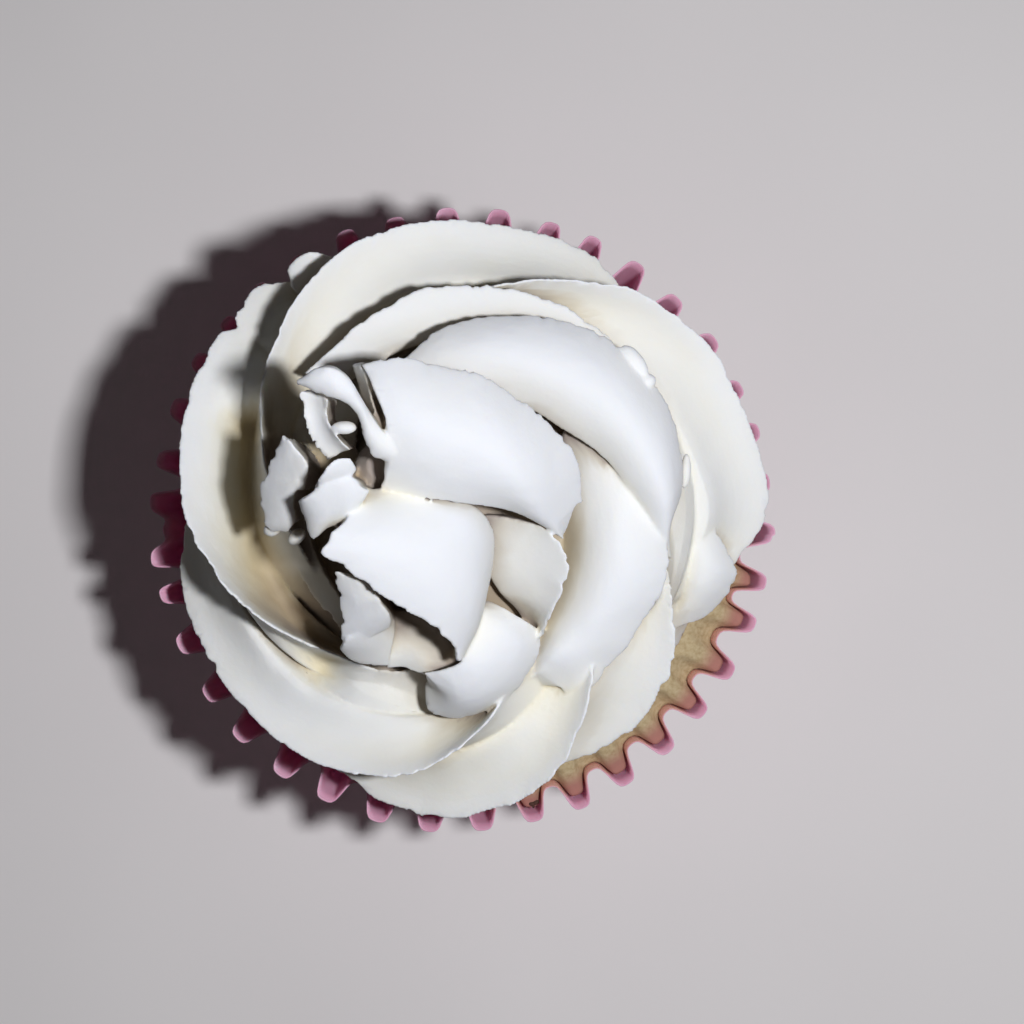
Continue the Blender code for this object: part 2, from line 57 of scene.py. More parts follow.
CASE_HIGH = np.array(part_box("paper_case")[1]) / MM
RIM_RADIUS = CASE_HIGH[0]            # out to the crests of the flutes
CASE_HEIGHT = CASE_HIGH[2]
SPONGE_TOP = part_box("sponge")[1][2] / MM
BASE_RADIUS = 25.0 / 35.0 * RIM_RADIUS
FLUTES = 38
FLUTE_DEPTH = 3.4                    # crest to valley at the rim
FOOT_DEPTH = 0.7
PAPER = 0.14
FLUTE_TURN = -1.9                    # where the first crest stands, in degrees
# How far each crest stands off its even place at the rim, in degrees: the case is a little squashed.
FLUTE_SHIFTS = [-1.2, -1.0, -0.6, -1.7, -0.8, 0.0, 0.1, 0.2, -1.2, -0.4, 0.0, 0.5, 0.6, 1.5, 0.8, 0.2, -0.4,
                -0.2, 0.8, -1.3, 0.5, -2.7, -2.1, -1.0, -1.1, -0.2, -0.5, 0.3, 0.6, 1.0, 1.3, 0.8, 0.7, 0.9,
                0.7, 0.2, 0.8, -1.0]
CREST_SQUARENESS = 1.9               # how flat the crests and valleys are beside a plain wave
MERGED_FLUTE = 19.5                  # the valley that is nearly flat, how far it is filled and its spread
MERGED_FILL = 0.55
MERGED_SPREAD = 0.30
SQUASH_TURN = 262.0                  # where the rim reaches farthest out, in degrees, and by how much
SQUASH = 0.3
SHOWN_MIDDLE = -46.0                 # where the cake shows beside the swirl, in degrees, and how far round
SHOWN_HALF = 40.0
SHOWN_FADE = 3.0                     # degrees over which it stops showing
PLEAT_FOOT = 31.0                    # radius past which the cake fills the pleats and takes their colour

# ---- buttercream ---------------------------------------------------------------------------------

VOXEL = 0.2
FROSTING_TRIANGLES = 190000
# The sky rays measure how much sky a point sees, for the shade painted into the cream's colour.
SKY_RAYS = 20                        # rays that tell how deep in a groove a point lies, and how far they look
SKY_REACH = 25.0
BLADE_HALF = 0.42                    # half thickness of a rope's fin near its lip
ROPE_CORE = 0.40                     # solid middle of the rope, as a share of its reach
TURN_STEP = 1.2                      # degrees between the sections of the rope
NOTCH_LENGTH = 0.5                   # the torn edge of a lip: spacing and depth of its notches
NOTCH_DEPTH = 0.5
WAVE_LENGTH = 2.6                    # and the slower waver of the lip
WAVE_DEPTH = 0.22

# The rope of the first ring. Its path: turn, ring radius, height, sideways and upward reach of the fins.
# Fins are the fixed directions of the six slots of the nozzle; a fin may start late, and swells are
# (fin, turn, spread, amount).
ROPE_PATH = [
    (-27, 20.5, 42.0, 11.0, 9.0),
    (10, 20.6, 42.0, 13.0, 9.5),
    (90, 21.0, 42.3, 11.8, 10.0),
    (140, 21.0, 42.5, 12.0, 10.0),
    (262, 20.7, 43.0, 11.6, 10.0),
    (330, 15.8, 44.3, 10.5, 8.5),
    (365, 13.5, 45.0, 10.0, 6.0),
]
ROPE_FINS = [17, 84, 138, 212, 268, 322]
LATE_FINS = {5: 90}
SWELLS = [(0, 0, 10, 2.4), (0, 22, 8, -0.6), (0, 52, 8, 0.5), (1, 64, 11, 1.2), (2, 120, 4, -1.8),
          (2, 131, 5, 1.4), (2, 140, 1.2, -1.5), (2, 245, 18, -3.5), (3, 222, 18, -0.8), (4, 262, 24, 1.0),
          (4, 328, 16, -5.0), (5, 304, 16, 1.3), (1, 218, 20, -5.5)]

# Solid hill inside the swirl: radius, height, middle x, middle y
HILL = [(28.0, 36.0, 0.0, 0.0), (25.5, 40.0, 0.0, 0.0), (19.0, 45.0, 0.5, 0.0), (15.0, 48.0, 1.5, 0.0),
        (9.5, 52.0, -2.0, 1.0), (6.5, 56.0, -4.5, 2.5), (4.0, 60.0, -7.0, 4.5), (1.5, 62.0, -8.0, 5.5)]

# Petals: the start of the rope, the second ring and the crown. Each is a cupped blade from a root curve,
# buried in the cream, to a free lip, over a wedge that goes down by depth below the root.
PETALS = {
    "third_start": dict(
        lip=[(-18.9, 25.6, 41.5), (-19.1, 27.3, 42.5), (-17.6, 28.6, 43.2), (-15.6, 29.1, 43.2),
             (-14.1, 28.6, 42.5)],
        root=[(-17.7, 24.4, 40.5), (-16.4, 25.0, 40.5), (-15.3, 25.7, 40.5), (-13.9, 26.6, 40.5)],
        cup=0.5, depth=4.0),
    "ring_outer": dict(
        lip=[(-16.3, 15.2, 53.5), (-13.9, 17.5, 54.3), (-10.8, 20.4, 54.5), (-7.2, 22.9, 54.0),
             (-3.3, 24.6, 53.5), (1.9, 24.8, 53.0), (6.5, 24.1, 52.5), (10.3, 22.9, 52.0),
             (14.5, 20.3, 51.5), (18.4, 16.9, 50.5)],
        root=[(-12.3, 14.2, 51.0), (-6.4, 17.7, 51.5), (2.2, 19.7, 51.0), (7.5, 20.1, 50.5),
              (15.6, 16.4, 49.5)],
        cup=0.5, depth=4.0),
    "ring_tucked": dict(
        lip=[(-20.8, 1.9, 50.0), (-19.5, -1.9, 49.5), (-15.3, -9.4, 48.5), (-12.7, -12.8, 48.0)],
        root=[(-17.1, 1.9, 50.5), (-15.2, -4.5, 50.0), (-11.2, -11.0, 49.0)],
        cup=-0.3, depth=4.0),
    "outer_torn_end": dict(
        lip=[(-11.0, 15.7, 65.5), (-10.3, 13.7, 64.6), (-9.6, 11.4, 63.6), (-8.0, 9.1, 63.0),
             (-7.0, 7.8, 63.0)],
        root=[(-9.8, 15.7, 67.6), (-9.0, 13.3, 67.4), (-8.3, 10.8, 67.2), (-6.9, 8.5, 67.0),
              (-5.9, 7.2, 66.5)],
        cup=0.0, depth=4.0),
    "below": dict(
        lip=[(-12.8, -5.4, 64.5), (-12.5, -8.5, 62.5), (-12.2, -11.4, 60.5), (-12.3, -13.2, 58.5)],
        root=[(-9.0, -6.4, 65.0), (-8.0, -8.5, 64.0), (-7.0, -10.3, 62.0), (-7.1, -11.4, 60.0)],
        cup=0.4, depth=17.0, thick=0.7),
    "below_low": dict(
        lip=[(-12.6, -13.8, 57.0), (-11.5, -14.9, 55.8), (-9.4, -15.7, 54.8), (-7.6, -15.9, 54.3)],
        root=[(-11.8, -12.6, 60.0), (-9.7, -11.8, 60.5), (-7.9, -10.9, 60.0), (-6.7, -10.7, 58.0)],
        cup=0.4, depth=12.0, thick=0.7),
    "curl": dict(
        lip=[(-7.7, -15.9, 53.8), (-5.8, -16.2, 53.6), (-3.1, -16.8, 53.6), (-1.0, -16.3, 54.0),
             (0.2, -15.5, 54.8)],
        root=[(-8.3, -10.5, 55.5), (-6.2, -9.9, 55.0), (-3.6, -10.8, 55.0), (-1.5, -12.4, 55.0),
              (0.0, -14.3, 54.8)],
        cup=1.0, depth=8.0),
    "left_high": dict(
        lip=[(-18.1, 8.7, 64.5), (-19.4, 6.2, 63.0), (-20.0, 5.0, 62.0), (-20.5, 3.4, 61.0)],
        root=[(-17.3, 8.0, 65.5), (-15.4, 5.4, 65.0), (-15.9, 2.9, 63.5)],
        cup=0.3, depth=18.0, thick=0.7),
    "left_low": dict(
        lip=[(-20.5, 3.9, 61.0), (-20.7, 0.8, 59.5), (-20.1, -1.3, 58.5), (-18.2, -1.7, 58.0)],
        root=[(-16.4, 3.9, 64.0), (-17.0, 1.8, 62.5), (-16.9, -0.2, 60.5)],
        cup=0.3, depth=16.0, thick=0.7),
    "star_top": dict(
        lip=[(-10.8, 6.1, 70.6), (-12.3, 5.8, 71.2), (-13.7, 4.3, 70.8), (-14.4, 3.1, 68.6)],
        root=[(-10.2, 4.9, 69.0), (-10.8, 4.2, 69.2), (-12.6, 3.6, 69.0), (-14.2, 3.0, 68.0)],
        cup=0.2, depth=16.0, thick=0.7),
    "star_face": dict(
        lip=[(-16.3, 1.8, 67.0), (-15.8, -0.2, 65.6), (-14.9, -2.2, 64.6), (-13.3, -1.2, 65.4),
             (-11.8, -0.6, 66.0), (-9.8, 1.6, 66.2), (-9.3, 2.9, 66.4)],
        root=[(-14.4, 3.0, 69.4), (-13.6, 3.3, 69.8), (-12.6, 3.6, 69.8), (-11.8, 3.8, 69.8),
              (-10.8, 4.1, 69.6), (-10.1, 3.8, 69.0), (-9.9, 3.5, 68.6)],
        cup=0.8, depth=16.0, thick=0.7),
    "hook": dict(
        lip=[(-16.1, 13.4, 71.4), (-14.2, 12.6, 72.2), (-12.4, 11.9, 72.4), (-11.1, 11.3, 72.0),
             (-9.9, 9.9, 70.8), (-9.6, 8.2, 69.4), (-8.6, 6.4, 68.0), (-7.6, 5.9, 67.0)],
        root=[(-15.5, 14.1, 71.8), (-14.2, 15.0, 73.2), (-12.6, 15.1, 73.6), (-10.9, 14.2, 73.0),
              (-9.8, 12.5, 71.8), (-8.5, 10.2, 70.2), (-7.0, 8.2, 69.0), (-5.8, 7.2, 68.4)],
        cup=0.6, depth=2.4),
    "hook_below": dict(
        lip=[(-16.0, 12.9, 69.0), (-16.0, 11.0, 68.0), (-15.5, 9.0, 67.0), (-14.6, 7.2, 66.4),
             (-13.4, 5.7, 66.0)],
        root=[(-13.1, 12.0, 69.5), (-13.2, 10.5, 68.4), (-12.9, 9.2, 68.2), (-11.9, 7.9, 68.4),
              (-10.9, 6.9, 68.0)],
        cup=-0.6, depth=16.0, thick=0.7),
    "ridge_side": dict(
        lip=[(8.5, -0.8, 59.4), (10.9, -3.0, 60.0), (11.6, -4.9, 59.8), (11.0, -7.6, 58.8),
             (9.7, -10.2, 57.2), (8.4, -12.7, 54.0)],
        root=[(2.7, 0.3, 57.5), (2.9, -2.4, 56.5), (3.0, -5.6, 55.0), (4.3, -8.0, 53.6),
              (6.2, -10.0, 52.4), (7.4, -12.1, 51.6)],
        cup=-0.5, depth=6.0),
}

# Broad leaves of the second ring and the crown: each rises from its free lip over a crest and rolls down
# again to its other edge, and goes down by depth into the cream in its middle.
LEAVES = {
    "start": dict(
        lip=[(25.1, 1.9, 41.6), (26.9, 0.4, 41.2), (28.5, -1.6, 41.0), (29.7, -3.8, 40.4),
             (30.4, -5.8, 39.8), (29.8, -7.8, 39.2), (28.3, -9.9, 38.6), (26.4, -11.4, 38.2),
             (23.8, -12.3, 38.0)],
        crest=[(24.5, 0.6, 41.4), (25.8, -1.6, 42.0), (26.6, -4.2, 42.4), (26.6, -6.9, 42.0),
               (25.6, -9.3, 40.6), (23.7, -11.1, 39.0)],
        edge=[(23.2, 1.4, 40.0), (23.0, -2.5, 39.2), (22.9, -6.9, 38.6), (22.7, -10.3, 38.2),
              (22.2, -12.3, 38.0)],
        depth=5.0),
    "ring_broad": dict(
        lip=[(-6.4, 16.1, 57.2), (-4.9, 17.4, 57.4), (-3.2, 19.1, 57.3), (0.6, 20.7, 56.8),
             (6.1, 21.5, 56.0), (11.0, 21.0, 55.3), (16.8, 18.5, 54.3), (20.6, 14.4, 53.5),
             (22.9, 10.4, 52.8), (23.7, 2.7, 52.0), (22.4, -1.6, 51.2), (22.8, -4.8, 49.8)],
        crest=[(-5.6, 15.7, 57.8), (-2.5, 17.0, 58.5), (4.3, 17.5, 58.8), (10.6, 14.9, 58.4),
               (15.9, 11.1, 57.6), (19.6, 6.6, 56.8), (21.7, 1.9, 55.6), (22.3, -4.1, 51.2)],
        edge=[(-4.9, 13.6, 57.0), (-0.9, 12.9, 57.0), (6.4, 11.9, 56.5), (10.9, 9.3, 55.4),
              (14.9, 6.6, 54.8), (18.1, 2.7, 54.2), (20.3, -1.0, 53.0), (21.4, -4.8, 50.2)],
        depth=9.0),
    "ring_inner": dict(
        lip=[(11.3, 11.0, 52.5), (15.6, 9.3, 53.4), (19.2, 4.6, 53.6), (21.5, -0.7, 53.0),
             (22.4, -4.7, 52.2), (21.5, -8.8, 51.4), (19.8, -11.2, 50.9), (17.9, -13.9, 50.4),
             (16.1, -16.1, 49.8), (13.9, -18.6, 49.2), (11.4, -19.2, 48.8)],
        crest=[(10.7, 7.2, 52.0), (13.7, 2.9, 53.6), (15.6, -1.3, 54.4), (16.0, -5.5, 54.4),
               (14.9, -9.3, 53.8), (13.1, -12.5, 53.0), (10.7, -14.6, 52.4), (8.6, -16.5, 51.0)],
        edge=[(9.1, 6.7, 50.5), (10.5, 1.9, 50.5), (11.0, -2.9, 50.0), (10.1, -7.8, 50.0),
              (8.6, -12.1, 50.0), (7.3, -15.3, 49.6), (7.1, -18.5, 48.8)],
        depth=8.0),
    "outer": dict(
        lip=[(-9.8, 15.7, 68.0), (-7.8, 16.3, 68.0), (-5.6, 16.4, 67.5), (-1.8, 15.8, 66.5),
             (2.3, 14.9, 65.5), (5.9, 12.9, 64.3), (9.3, 10.1, 62.8), (11.4, 7.8, 61.4),
             (12.6, 5.5, 60.2), (13.0, 3.4, 59.2), (13.1, 1.6, 58.2)],
        crest=[(-6.8, 7.4, 68.6), (-4.3, 7.0, 68.8), (-0.5, 6.3, 68.4), (3.4, 4.9, 67.4),
               (5.9, 3.1, 66.0), (8.2, 1.2, 63.6), (10.3, -0.3, 60.6)],
        edge=[(-8.0, 3.1, 64.4), (-5.9, 2.6, 64.4), (-2.8, 1.9, 64.4), (0.8, 1.4, 64.0), (3.3, 1.1, 63.2),
              (5.9, 0.5, 62.0), (8.5, -0.8, 60.2), (11.2, -2.5, 57.8)],
        depth=10.0),
    "shoulder": dict(
        lip=[(-12.8, -1.6, 69.2), (-13.2, -2.6, 69.2), (-13.9, -3.5, 69.0), (-11.9, -4.9, 68.4),
             (-10.4, -6.1, 67.8), (-7.9, -7.9, 66.8), (-4.9, -9.8, 65.5), (-2.8, -11.0, 64.4),
             (-1.1, -12.6, 62.8), (0.2, -15.1, 60.0)],
        crest=[(-10.9, 0.3, 67.8), (-8.9, -1.2, 68.2), (-5.8, -2.8, 67.6), (-2.8, -4.1, 66.6),
               (-0.5, -6.1, 65.2), (0.8, -8.5, 63.6), (1.1, -11.1, 61.8), (0.5, -14.6, 59.0)],
        edge=[(-9.8, 3.1, 64.2), (-6.5, 3.0, 63.8), (-1.8, 2.4, 63.0), (1.9, 1.2, 61.8),
              (3.6, -1.0, 60.0), (3.8, -3.6, 58.4), (3.3, -6.5, 57.0), (2.2, -10.5, 55.8),
              (0.5, -15.0, 56.0)],
        depth=10.0),
    "ridge_foot": dict(
        lip=[(8.3, -11.7, 53.6), (8.6, -13.0, 53.2), (8.1, -15.4, 52.6), (7.3, -17.0, 52.2),
             (5.4, -19.2, 51.6), (3.2, -20.6, 51.2), (1.4, -21.3, 51.0), (-0.8, -21.6, 50.8),
             (-3.4, -20.6, 50.8), (-3.8, -17.6, 51.5)],
        crest=[(5.9, -10.2, 55.2), (5.4, -12.3, 56.6), (3.8, -14.7, 57.0), (1.7, -17.3, 56.8),
               (-0.4, -18.1, 56.4), (-2.5, -17.6, 56.0)],
        edge=[(2.9, -8.6, 54.5), (2.2, -9.7, 56.5), (1.3, -12.3, 57.6), (0.1, -15.2, 57.8),
              (-2.0, -16.1, 57.2), (-3.6, -16.4, 56.2)],
        depth=6.0),
}

# Small lumps that the nozzle left: middle x, y, z, half sizes, turn of the long side in degrees
LUMPS = [
    (-11.5, 9.2, 68.0, 1.3, 0.7, 0.7, 0.0),
    (18.6, 16.7, 54.3, 2.0, 0.9, 0.8, -50.0),
    (20.0, 14.5, 54.0, 0.9, 0.8, 0.8, 0.0),
    (24.2, 5.0, 50.2, 2.0, 0.6, 0.5, 85.0),
    (-18.4, -0.3, 58.6, 1.3, 0.9, 1.0, 0.0),
    (-17.0, -2.0, 57.4, 1.1, 0.8, 0.9, 40.0),
    (-19.6, -1.2, 57.4, 1.0, 0.8, 0.9, 20.0),
]
# Dark crumbs caught in the pleats where the cake shows: turn of the pleat in degrees, radius, how many
CRUMB_PLEATS = [(-76.4, 32.75, 5), (-67.2, 32.4, 6), (-58.1, 32.3, 4)]
CRUMB_HEIGHT = 32.2
CRUMB_SPREAD = (0.66, 0.88)          # half the patch that the crumbs of a pleat lie in, along x and y
CRUMB_SIZE = (0.18, 0.42)            # shortest and longest half length

# Deep grooves round the crown: a line along each, how far it sinks, its half width, and the height above
# which the cream is left alone
GROOVES = [
    ([(-23.0, 9.5, 47), (-23.1, 3.0, 46), (-22.2, -3.0, 46),
      (-19.8, -8.9, 46), (-16.8, -13.2, 47), (-14.6, -14.8, 48)], 5.5, 2.8, 55.0),
    ([(-9.2, -8.0, 56), (-6.4, -9.9, 56), (-3.3, -12.0, 56), (-1.3, -14.2, 56)], 3.0, 1.6, 58.5),
]


# ---- meshes --------------------------------------------------------------------------------------

def make_piece(name, points, faces, material, smooth=True):
    mesh = bpy.data.meshes.new(name)
    mesh.from_pydata((np.asarray(points) * MM).tolist(), [], faces)
    mesh.update()
    mesh.polygons.foreach_set("use_smooth", [smooth] * len(mesh.polygons))
    obj = bpy.data.objects.new(name, mesh)
    bpy.context.scene.collection.objects.link(obj)
    mesh.materials.append(material)
    return obj


def loft(rings, capped=True):
    """Side faces between closed rings of equal length, with an n-gon at each end."""
    rings = np.asarray(rings)
    count, around, _ = rings.shape
    here = np.arange(around)
    after = (here + 1) % around
    faces = []
    for row in range(count - 1):
        low = row * around
        high = low + around
        faces += np.stack([low + here, low + after, high + after, high + here], 1).tolist()
    if capped:
        faces.append(here[::-1].tolist())
        faces.append(((count - 1) * around + here).tolist())
    return rings.reshape(-1, 3), faces


def join(parts):
    """One point array and one face list from several."""
    points = np.concatenate([part[0] for part in parts])
    faces = []
    start = 0
    for part_points, part_faces in parts:
        faces += [[index + start for index in face] for face in part_faces]
        start += len(part_points)
    return points, faces


def unit(vectors):
    return vectors / np.linalg.norm(vectors, axis=-1, keepdims=True)


def through_table(x, knots, values):
    """Curve through a table that never overshoots it (monotone cubic)."""
    knots = np.asarray(knots, float)
    values = np.asarray(values, float)
    width = np.diff(knots)
    slope = np.diff(values) / width
    tangent = np.zeros_like(values)
    tangent[0] = slope[0]
    tangent[-1] = slope[-1]
    for i in range(1, len(knots) - 1):
        if slope[i - 1] * slope[i] > 0:
            before = 2 * width[i] + width[i - 1]
            after = width[i] + 2 * width[i - 1]
            tangent[i] = (before + after) / (before / slope[i - 1] + after / slope[i])
    i = np.clip(np.searchsorted(knots, x) - 1, 0, len(knots) - 2)
    t = np.clip((x - knots[i]) / width[i], 0, 1)
    start = (1 + 2 * t) * (1 - t) ** 2 * values[i] + t * (1 - t) ** 2 * width[i] * tangent[i]
    end = t * t * (3 - 2 * t) * values[i + 1] + t * t * (t - 1) * width[i] * tangent[i + 1]
    return start + end


def through_points(points, count):
    """Catmull-Rom curve through 3-D points, sampled at even steps of its length."""
    points = np.asarray(points, float)
    chord = np.linalg.norm(np.diff(points, axis=0), axis=1)
    knots = np.concatenate([[0.0], np.cumsum(chord)]) / chord.sum()
    tangent = np.gradient(points, knots, axis=0)
    fine = np.linspace(0, 1, 240)
    i = np.clip(np.searchsorted(knots, fine) - 1, 0, len(knots) - 2)
    width = (knots[i + 1] - knots[i])[:, None]
    t = (fine - knots[i])[:, None] / width
    start = (1 + 2 * t) * (1 - t) ** 2 * points[i] + t * (1 - t) ** 2 * width * tangent[i]
    end = t * t * (3 - 2 * t) * points[i + 1] + t * t * (t - 1) * width * tangent[i + 1]
    curve = start + end
    along = np.concatenate([[0.0], np.cumsum(np.linalg.norm(np.diff(curve, axis=0), axis=1))])
    even = np.linspace(0, along[-1], count)
    return np.stack([np.interp(even, along, curve[:, axis]) for axis in range(3)], 1)


def wander(distance, seed, cell):
    """Smooth seeded noise along a line, -1 to 1."""
    table = np.random.RandomState(seed).uniform(-1, 1, 997)
    place = distance / cell
    index = np.floor(place).astype(int)
    t = place - index
    t = t * t * (3 - 2 * t)
    return table[index % 997] * (1 - t) + table[(index + 1) % 997] * t


def noise_at(points, cell, seed):
    """Smooth noise in space, about -1 to 1."""
    shift = Vector((seed * 7.31, seed * 3.17, seed * 5.73))
    return np.array([noise.noise(Vector(point) / cell + shift) for point in points.tolist()])


# ---- buttercream: shape --------------------------------------------------------------------------

def rope_frames(path, first_turn=None):
    """Middle line of a rope, its direction of travel and the reach of its fins."""
    table = np.array(path, float)
    start = table[0, 0] if first_turn is None else first_turn
    turn = np.arange(start, table[-1, 0] + TURN_STEP / 2, TURN_STEP)
    ring, height, side, rise = (through_table(turn, table[:, 0], table[:, column]) for column in range(1, 5))
    azimuth = np.radians(turn)
    middle = np.stack([ring * np.cos(azimuth), ring * np.sin(azimuth), height], 1)
    travel = unit(np.gradient(middle, turn, axis=0))
    return turn, middle, travel, side, rise


def fin_directions(fin, turn, travel, side, rise):
    """Where a fin points in each section. The nozzle never turns, so as the rope travels round
    a fin comes up from below, stands out sideways and moves over the top."""
    slot = math.radians(ROPE_FINS[fin])
    slot = np.array([math.cos(slot), math.sin(slot), 0.0])
    lean = np.cross((0.0, 0.0, 1.0), travel)
    turned = np.cross(lean, slot)
    aim = slot + turned + np.cross(lean, turned) / (1 + travel[:, 2])[:, None]
    outward = unit(np.stack([travel[:, 1], -travel[:, 0], 0 * turn], 1))
    upward = np.cross(outward, travel)
    upward = np.where(upward[:, 2:] < 0, -upward, upward)
    angle = np.arctan2((aim * upward).sum(1), (aim * outward).sum(1))
    angle = angle - math.radians(11.0) * np.exp(-((angle - 0.1) / 0.8) ** 2)
    aim = outward * np.cos(angle)[:, None] + upward * np.sin(angle)[:, None]
    reach = 1 / np.sqrt((np.cos(angle) / side) ** 2 + (np.sin(angle) / rise) ** 2)
    for swollen, place, spread, amount in SWELLS:
        if swollen == fin:
            reach = reach + amount * np.exp(-((turn - place) / spread) ** 2)
    return aim, reach


def torn(along, seed):
    """How far a torn lip stands back at each place along it."""
    notch = np.clip(wander(along, seed, NOTCH_LENGTH) - 0.25, 0, 1) * NOTCH_DEPTH
    return notch + WAVE_DEPTH * wander(along, seed + 50, WAVE_LENGTH)


def rope_fin(fin):
    """One fin as a loft of thin leaf-shaped sections that flare where they join the rope."""
    turn, middle, travel, side, rise = rope_frames(ROPE_PATH, LATE_FINS.get(fin))
    aim, reach = fin_directions(fin, turn, travel, side, rise)
    lip = middle + aim * reach[:, None]
    along = np.concatenate([[0.0], np.cumsum(np.linalg.norm(np.diff(lip, axis=0), axis=1))])
    reach = reach * (1 + 0.035 * wander(along, 10 + fin, 9.0))
    start = np.clip((turn - turn[0]) / 7.0, 0, 1)
    end = np.clip((turn[-1] - turn) / 14.0, 0, 1)
    for grown in (start, end):
        reach = reach * (0.45 + 0.55 * np.sqrt(grown))
    tear = torn(along, 70 + fin)
    across = unit(np.cross(travel, aim))
    near, far = [], []
    for share in np.linspace(0, 1, 14):
        distance = share * reach - tear * share ** 6
        open_share = max(0.0, (share - ROPE_CORE) / (1 - ROPE_CORE))
        flare = math.tan(math.radians(30) * (1 - open_share) ** 2.6)
        half = distance * flare + BLADE_HALF * (1 - 0.65 * share ** 4)
        bend = -0.10 * math.sin(math.pi * open_share / 2) ** 2 * open_share * reach
        spine = middle + aim * distance[:, None] + across * bend[:, None]
        near.append(spine + across * half[:, None])
        far.append(spine - across * half[:, None])
    return loft(np.stack(near + far[::-1], 1))


def rope_core(path):
    turn, middle, travel, side, _ = rope_frames(path)
    thickness = ROPE_CORE * side * (1 - 0.3 * np.exp(-((turn - 203.0) / 25.0) ** 2))
    first = unit(np.cross(travel, (0.0, 0.0, 1.0)))
    second = np.cross(travel, first)
    rings = []
    for angle in np.radians(np.arange(0, 360, 20)):
        rings.append(middle + (first * math.cos(angle) + second * math.sin(angle)) * thickness[:, None])
    return loft(np.stack(rings, 1))


def petal(seed, lip, root, cup, depth, thick=1.0):
    """A cupped blade from root to lip over a wedge that goes down from the root."""
    length = np.linalg.norm(np.diff(np.array(lip), axis=0), axis=1).sum()
    columns = max(16, int(length / 0.4))
    lip_line = through_points(lip, columns)
    root_line = through_points(root, columns)
    v = np.linspace(0, 1, 16)
    sheet = root_line[:, None] * (1 - v)[None, :, None] + lip_line[:, None] * v[None, :, None]
    normal = sheet_normal(sheet)
    sheet = sheet + normal * (cup * 4 * v * (1 - v))[None, :, None]
    tear = torn(np.linspace(0, length, columns), seed)
    inward = unit(root_line - lip_line) * tear[:, None]
    sheet = sheet + inward[:, None] * (v ** 5)[None, :, None]
    under = sheet - normal * (thick * (1 - 0.72 * v ** 2))[None, :, None]
    under[:, :, 2] -= depth * (1 - v) ** 2.4
    return loft(np.concatenate([sheet, under[:, ::-1]], 1))


def sheet_normal(sheet):
    """Unit normals of a grid of points, on its upper side."""
    normal = unit(np.cross(np.gradient(sheet, axis=0), np.gradient(sheet, axis=1)))
    return -normal if normal[:, :, 2].mean() < 0 else normal


def leaf(seed, lip, crest, edge, depth):
    """A broad blade arched over its crest, thin at both edges and deep in between."""
    length = np.linalg.norm(np.diff(np.array(lip), axis=0), axis=1).sum()
    columns = max(16, int(length / 0.4))
    lines = [through_points(line, columns) for line in (lip, crest, edge)]
    reach = [np.linalg.norm(lines[1] - lines[0], axis=1), np.linalg.norm(lines[2] - lines[1], axis=1)]
    middle = (reach[0] / (reach[0] + reach[1]))[:, None]
    v = np.linspace(0, 1, 30)[None, :]
    shares = [(v - middle) * (v - 1) / middle, v * (1 - v) / (middle * (1 - middle)),
              v * (v - middle) / (1 - middle)]
    sheet = sum(line[:, None] * share[:, :, None] for line, share in zip(lines, shares))
    normal = sheet_normal(sheet)
    tear = torn(np.linspace(0, length, columns), seed)
    inward = unit(lines[1] - lines[0]) * tear[:, None]
    sheet = sheet + inward[:, None] * ((1 - v) ** 6)[:, :, None]
    arch = (4 * v * (1 - v))[0]
    under = sheet - normal * (0.3 + 0.7 * np.sqrt(arch))[None, :, None]
    under[:, :, 2] -= depth * arch ** 1.6
    return loft(np.concatenate([sheet, under[:, ::-1]], 1))


def hill():
    angle = np.radians(np.arange(0, 360, 10))
    rings = [np.stack([x + r * np.cos(angle), y + r * np.sin(angle), np.full_like(angle, z)], 1)
             for r, z, x, y in HILL]
    return loft(rings)


def lump(x, y, z, long, wide, tall, turn):
    angle = np.radians(np.arange(0, 360, 20))
    c, s = math.cos(math.radians(turn)), math.sin(math.radians(turn))
    rings = []
    for lift in np.radians(np.arange(-80, 81, 20)):
        a = long * math.cos(lift) * np.cos(angle)
        b = wide * math.cos(lift) * np.sin(angle)
        rings.append(np.stack([x + a * c - b * s, y + a * s + b * c, z + tall * math.sin(lift) + 0 * a], 1))
    return loft(rings)


def evaluated_mesh(obj):
    """A new mesh, with the object's modifiers applied."""
    depsgraph = bpy.context.evaluated_depsgraph_get()
    return bpy.data.meshes.new_from_object(obj.evaluated_get(depsgraph))


def smoothed(points, edges, rounds):
    """The points after rounds of averaging with their neighbours."""
    count = len(points)
    ends = np.concatenate([edges[:, 0], edges[:, 1]])
    others = np.concatenate([edges[:, 1], edges[:, 0]])
    weight = np.bincount(ends, minlength=count)[:, None]
    result = points.copy()
    for _ in range(rounds):
        total = np.stack([np.bincount(ends, column, count) for column in result[others].T], 1)
        result = 0.5 * result + 0.5 * total / weight
    return result


